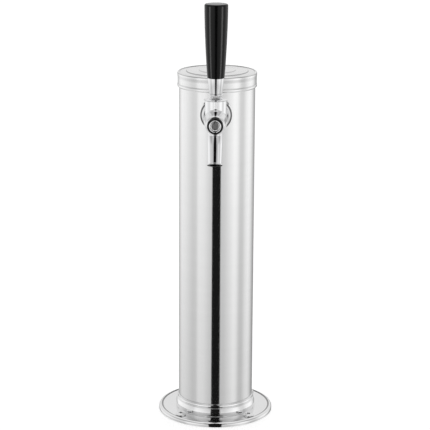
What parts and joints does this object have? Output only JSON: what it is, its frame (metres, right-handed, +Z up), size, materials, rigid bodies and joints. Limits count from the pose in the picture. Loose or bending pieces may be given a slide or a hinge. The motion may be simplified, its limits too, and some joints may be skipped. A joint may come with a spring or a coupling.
{
  "type": "beer tower",
  "caption": "Single-tap beer tower: a brushed steel column on a screwed-down flange, with a cap, a chrome tap, spout and black pull handle.",
  "frame": {"origin": "centre of the column at the face that rests on the counter", "axes": "+Z up along the column; the tap faces -Y; +X is to the right as seen from the tap's side"},
  "size_m": [0.1174, 0.1761, 0.4333],
  "materials": {
    "polished_steel": "polished stainless steel, slightly wavy from spinning",
    "brushed_steel": "satin stainless steel, brushed round the column",
    "chrome": "bright chrome plate on brass",
    "plain_steel": "turned stainless steel",
    "screw_steel": "pan-head stainless screws",
    "rubber": "matt black rubber",
    "foam": "closed-cell foam insulation",
    "black_plastic": "black engineering plastic",
    "white_plastic": "white low-friction plastic",
    "brass": "turned brass",
    "gloss_black": "gloss black moulded plastic"
  },
  "bodies": {
    "tower": {"base_flange": "polished_steel", "base_gasket": "rubber", "mounting_screws": "screw_steel", "foot_collar": "polished_steel", "column_tube": "brushed_steel", "insulation_sleeve": "foam", "outer_saddle": "plain_steel", "inner_saddle": "black_plastic", "shank_body": "plain_steel", "shank_jam_nut": "plain_steel", "tail_washer": "rubber", "tail_nut": "plain_steel", "tail_elbow": "plain_steel", "coupling_nut": "chrome", "tap_gasket": "rubber", "tap_body": "chrome", "nose_guide": "black_plastic", "ball_cup": "rubber", "friction_ring": "white_plastic", "bonnet": "chrome"},
    "cap": {"top_cap": "brushed_steel"},
    "handle": {"lever": "plain_steel", "lever_collar": "chrome", "handle_ferrule": "chrome", "handle_insert": "brass", "handle_grip": "gloss_black"},
    "shaft": {"shaft": "plain_steel", "nose_sleeve": "chrome", "seat_washer": "rubber", "washer_retainer": "plain_steel"}
  },
  "joints": [
    {"name": "handle_pull", "type": "hinge", "parent": "tower", "child": "handle", "pos_m": [0, -0.077, 0.3384], "axis": [1, 0, 0], "range_deg": [0, 22]},
    {"name": "shaft_slide", "type": "slide", "parent": "tower", "child": "shaft", "axis": [0, 1, 0], "range_m": [0, 0.00563]},
    {"name": "cap_lift", "type": "slide", "parent": "tower", "child": "cap", "axis": [0, 0, 1], "range_m": [0, 0.0135]}
  ],
  "couplings": [
    {"joint": "shaft_slide", "follows": "handle_pull", "m_per_rad": 0.014634}
  ]
}
